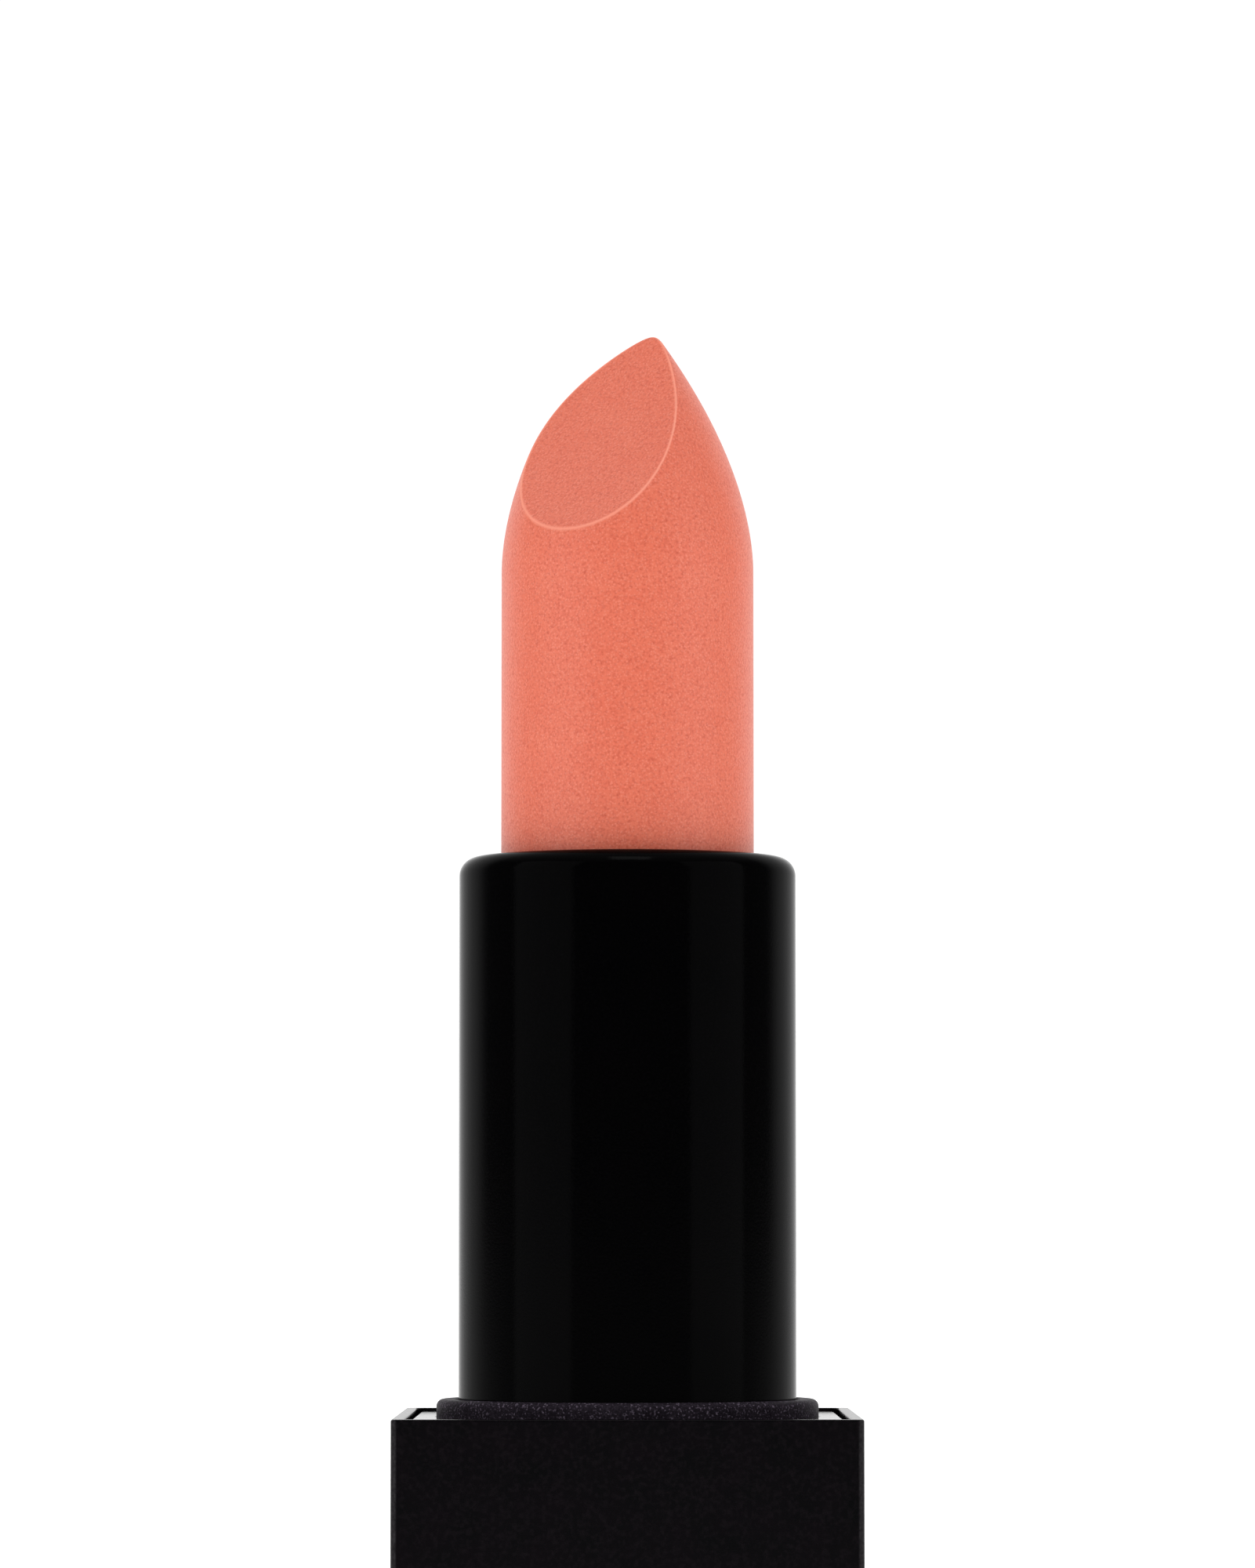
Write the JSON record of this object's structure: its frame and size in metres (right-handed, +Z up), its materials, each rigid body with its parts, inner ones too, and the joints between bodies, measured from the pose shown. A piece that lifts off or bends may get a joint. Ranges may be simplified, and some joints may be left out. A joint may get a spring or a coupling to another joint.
{
  "type": "lipstick case",
  "caption": "Twist-up lipstick case without its cap: square black base, round turning sleeve, spiral lift and a coral bullet with a slanted tip.",
  "frame": {"origin": "middle of the underside of the square base", "axes": "+Z up the axis of the case to the bullet, -Y is the front that the slanted tip mostly faces, +X to the right seen from the front"},
  "size_m": [0.0218, 0.0218, 0.0758],
  "materials": {
    "shell_black": "satin black coating with a faint mottle",
    "moulded_black": "fine moulded texture",
    "label_paper": "blank matte label",
    "weight_steel": "tumbled steel slug",
    "insert_black": "smooth black moulding",
    "collar_black": "grainy matte black",
    "natural_plastic": "natural acetal moulding",
    "silicone": "soft translucent grey",
    "sleeve_gloss_black": "high-gloss black coating",
    "cup_black": "smooth black moulding",
    "coral_bullet": "satin coral wax with a fine pearl grain"
  },
  "bodies": {
    "base": {"base_shell": "shell_black", "bottom_plate": "moulded_black", "shade_label": "label_paper", "base_weight": "weight_steel", "base_insert": "insert_black", "collar_ring": "collar_black", "inner_body": "natural_plastic", "friction_ring": "silicone"},
    "sleeve": {"outer_sleeve": "sleeve_gloss_black", "spiral_cam": "natural_plastic"},
    "lift": {"bullet_cup": "cup_black", "lipstick_bullet": "coral_bullet"}
  },
  "joints": [
    {"name": "sleeve_turn", "type": "hinge", "parent": "base", "child": "sleeve", "pos_m": [0, 0, 0.0116], "axis": [0, 0, 1], "range_deg": [0, 540]},
    {"name": "cup_lift", "type": "slide", "parent": "base", "child": "lift", "axis": [0, 0, 1], "range_m": [-0.02581, 0]}
  ],
  "couplings": [
    {"joint": "cup_lift", "follows": "sleeve_turn", "m_per_rad": -0.0027375}
  ]
}
